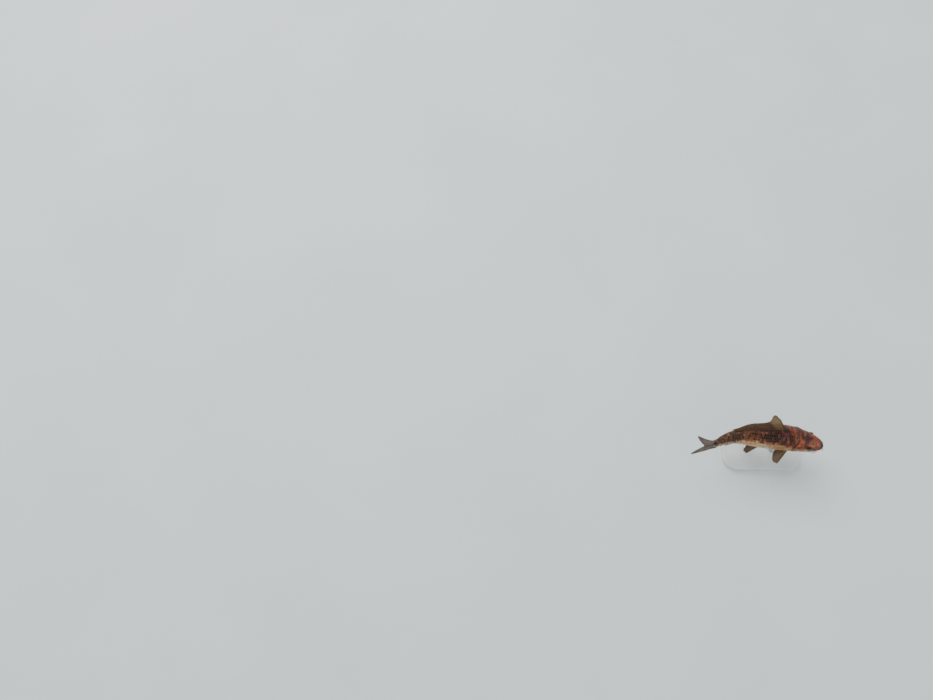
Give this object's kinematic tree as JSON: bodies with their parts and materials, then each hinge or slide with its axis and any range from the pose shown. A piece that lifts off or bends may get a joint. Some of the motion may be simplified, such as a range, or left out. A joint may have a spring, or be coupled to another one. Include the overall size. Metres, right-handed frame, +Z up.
{
  "type": "koi carp",
  "caption": "Life-size young koi carp in a gently bent swimming pose, orange head and dark brown mottled back, fins spread, held over a flat display base by short rods.",
  "frame": {"origin": "middle of the flat underside of the stand's base", "axes": "+X towards the snout, +Y to the fish's left, +Z up, out of the back"},
  "size_m": [0.1509, 0.0552, 0.087],
  "materials": {
    "head_skin": "painted skin, orange-red with black mottles, wet gloss",
    "trunk_skin": "painted scaled skin, dark brown back and golden flank, wet gloss",
    "tail_skin": "painted scaled skin, dark brown, wet gloss",
    "fin": "thin olive-brown fin skin over rays, slightly translucent",
    "eye": "dark glossy eye with a golden ring",
    "barbel": "soft feeler, satin",
    "stand_base": "pale grey, satin",
    "stand_rod": "turned steel, satin"
  },
  "bodies": {
    "root": {"head": "head_skin", "gill_cover_left": "head_skin", "gill_cover_right": "head_skin", "trunk": "trunk_skin", "tail_stem": "tail_skin", "dorsal_fin": "fin", "anal_fin": "fin", "caudal_fin_upper": "fin", "caudal_fin_lower": "fin", "pectoral_fin_left": "fin", "pectoral_fin_right": "fin", "pelvic_fin_left": "fin", "pelvic_fin_right": "fin", "eye_left": "eye", "eye_right": "eye", "barbel_corner_left": "barbel", "barbel_corner_right": "barbel", "barbel_lip_left": "barbel", "barbel_lip_right": "barbel", "stand_base": "stand_base", "stand_rod_front": "stand_rod", "stand_rod_rear": "stand_rod"}
  },
  "joints": []
}
